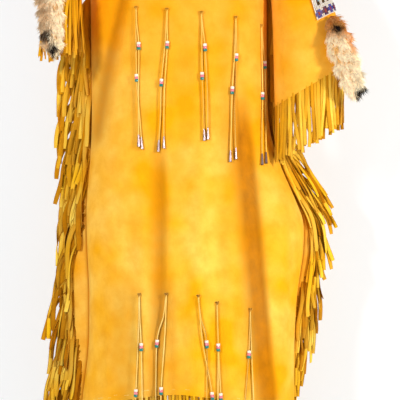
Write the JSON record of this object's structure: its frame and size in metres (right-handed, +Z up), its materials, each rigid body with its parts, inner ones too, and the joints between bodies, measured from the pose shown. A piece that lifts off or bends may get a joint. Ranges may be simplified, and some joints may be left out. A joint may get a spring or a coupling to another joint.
{
  "type": "beaded buckskin dress",
  "caption": "Full-length fringed buckskin dress with open cape-like sleeves, beaded shoulder bands, fur tails and rows of beaded thong tassels, hollow as worn.",
  "frame": {"origin": "middle of the neck at the height of the shoulder line, where the wearer's shoulders carry the dress", "axes": "+Z up, -Y towards the front of the dress, +X towards the wearer's left"},
  "size_m": [0.7796, 0.4022, 1.4772],
  "materials": {
    "buckskin": "smoked, brain-tanned, suede nap",
    "fringe_hide": "cut strands, suede nap",
    "beadwork": "rows of small opaque glass beads on hide",
    "fur": "long soft fur",
    "tassel_thong": "narrow thong with glass crow beads and tin cones"
  },
  "bodies": {
    "root": {"front_panel": "buckskin", "back_panel": "buckskin", "left_sleeve": "buckskin", "right_sleeve": "buckskin", "left_side_fringe": "fringe_hide", "right_side_fringe": "fringe_hide", "left_cuff_fringe": "fringe_hide", "right_cuff_fringe": "fringe_hide", "hem_fringe_front": "fringe_hide", "hem_fringe_back": "fringe_hide", "left_beaded_band": "beadwork", "right_beaded_band": "beadwork", "left_fur_tail": "fur", "right_fur_tail": "fur", "tassel_chest_1": "tassel_thong", "tassel_chest_2": "tassel_thong", "tassel_chest_3": "tassel_thong", "tassel_chest_4": "tassel_thong", "tassel_chest_5": "tassel_thong", "tassel_skirt_1": "tassel_thong", "tassel_skirt_2": "tassel_thong", "tassel_skirt_3": "tassel_thong", "tassel_skirt_4": "tassel_thong", "tassel_skirt_5": "tassel_thong"}
  },
  "joints": []
}
